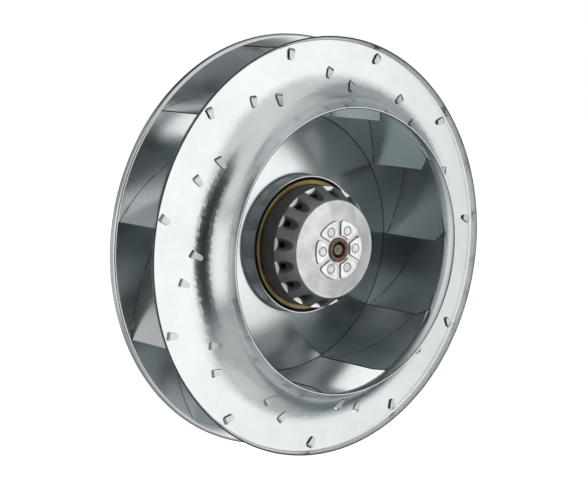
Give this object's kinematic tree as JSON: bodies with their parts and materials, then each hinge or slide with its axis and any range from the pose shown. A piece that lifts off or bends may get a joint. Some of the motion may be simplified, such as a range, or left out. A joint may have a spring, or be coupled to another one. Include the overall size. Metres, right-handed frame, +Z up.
{
  "type": "plug fan",
  "caption": "Plug fan: a backward-curved centrifugal wheel of pressed sheet on an external-rotor motor with a flat mounting flange.",
  "frame": {"origin": "centre of the motor flange's mounting face", "axes": "+Y along the fan's axis, out of the mounting face and away from the inlet; the inlet looks towards -Y; +Z up and +X to the right as seen from the inlet side"},
  "size_m": [0.4, 0.1456, 0.4],
  "materials": {
    "galvanised sheet": "galvanised, bright and slightly blue",
    "passivated steel": "yellow passivated",
    "die-cast aluminium": "as cast",
    "lamination steel": "dark sheet steel stack",
    "brown bush": "dark brown, dull",
    "shaft steel": "turned",
    "spring steel": "blued",
    "bearing steel": "ground",
    "black plastic": "moulded",
    "winding copper": "enamelled copper",
    "insulation plastic": "moulded",
    "black rubber": "moulded"
  },
  "bodies": {
    "stator": {"motor_flange": "die-cast aluminium", "bearing_cap": "black plastic", "front_bearing_outer": "bearing steel", "rear_bearing_outer": "bearing steel", "preload_spring": "spring steel", "stator_core": "lamination steel", "stator_windings": "winding copper", "front_insulation": "insulation plastic", "rear_insulation": "insulation plastic", "cable_grommet": "black rubber"},
    "impeller": {"back_plate": "galvanised sheet", "shroud": "galvanised sheet", "blade_01": "galvanised sheet", "blade_02": "galvanised sheet", "blade_03": "galvanised sheet", "blade_04": "galvanised sheet", "blade_05": "galvanised sheet", "blade_06": "galvanised sheet", "blade_07": "galvanised sheet", "blade_08": "galvanised sheet", "blade_09": "galvanised sheet", "blade_10": "galvanised sheet", "blade_11": "galvanised sheet", "rotor_shell": "passivated steel", "rotor_bell": "die-cast aluminium", "rotor_core": "lamination steel", "rotor_end_ring": "die-cast aluminium", "hub_bush": "brown bush", "shaft": "shaft steel", "shaft_circlip": "spring steel", "front_bearing_inner": "bearing steel", "rear_bearing_inner": "bearing steel"}
  },
  "joints": [
    {"name": "impeller_spin", "type": "hinge", "parent": "stator", "child": "impeller", "pos_m": [0, 0, 0], "axis": [0, 1, 0], "continuous": true}
  ]
}
